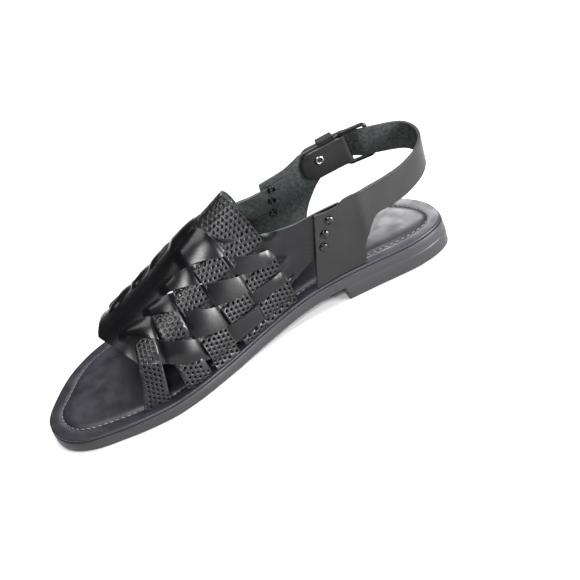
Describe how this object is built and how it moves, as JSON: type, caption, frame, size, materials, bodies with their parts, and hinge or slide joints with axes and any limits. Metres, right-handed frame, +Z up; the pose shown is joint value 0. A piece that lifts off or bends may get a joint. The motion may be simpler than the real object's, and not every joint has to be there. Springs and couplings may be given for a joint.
{
  "type": "huarache sandal",
  "caption": "Right leather huarache sandal with a slit vamp woven through perforated strips, an open toe, a buckled heel strap and a low stacked heel.",
  "frame": {"origin": "middle of the bottom of the box round the whole shoe, on the floor", "axes": "+X towards the toe, +Y to the inner side of the foot, +Z up"},
  "size_m": [0.2988, 0.1036, 0.0995],
  "materials": {
    "upper_leather": "smooth semi-gloss black leather, strips punched with small holes",
    "strap_leather": "smooth black leather outside, matt dark grey flesh side inside",
    "insole_leather": "smooth dark slate leather with a slight gloss",
    "sole_leather": "burnished black leather edge, satin",
    "dark_metal": "dark gunmetal, satin"
  },
  "bodies": {
    "root": {"outsole": "sole_leather", "heel_block": "sole_leather", "insole": "insole_leather", "upper": "upper_leather", "heel_strap": "strap_leather", "buckle_quarter": "strap_leather", "buckle_frame": "dark_metal", "buckle_prong": "dark_metal", "keeper_loop": "strap_leather", "fold_rivet": "dark_metal", "rivet_inner_1": "dark_metal", "rivet_inner_2": "dark_metal", "rivet_inner_3": "dark_metal", "rivet_outer_1": "dark_metal", "rivet_outer_2": "dark_metal", "rivet_outer_3": "dark_metal"}
  },
  "joints": []
}
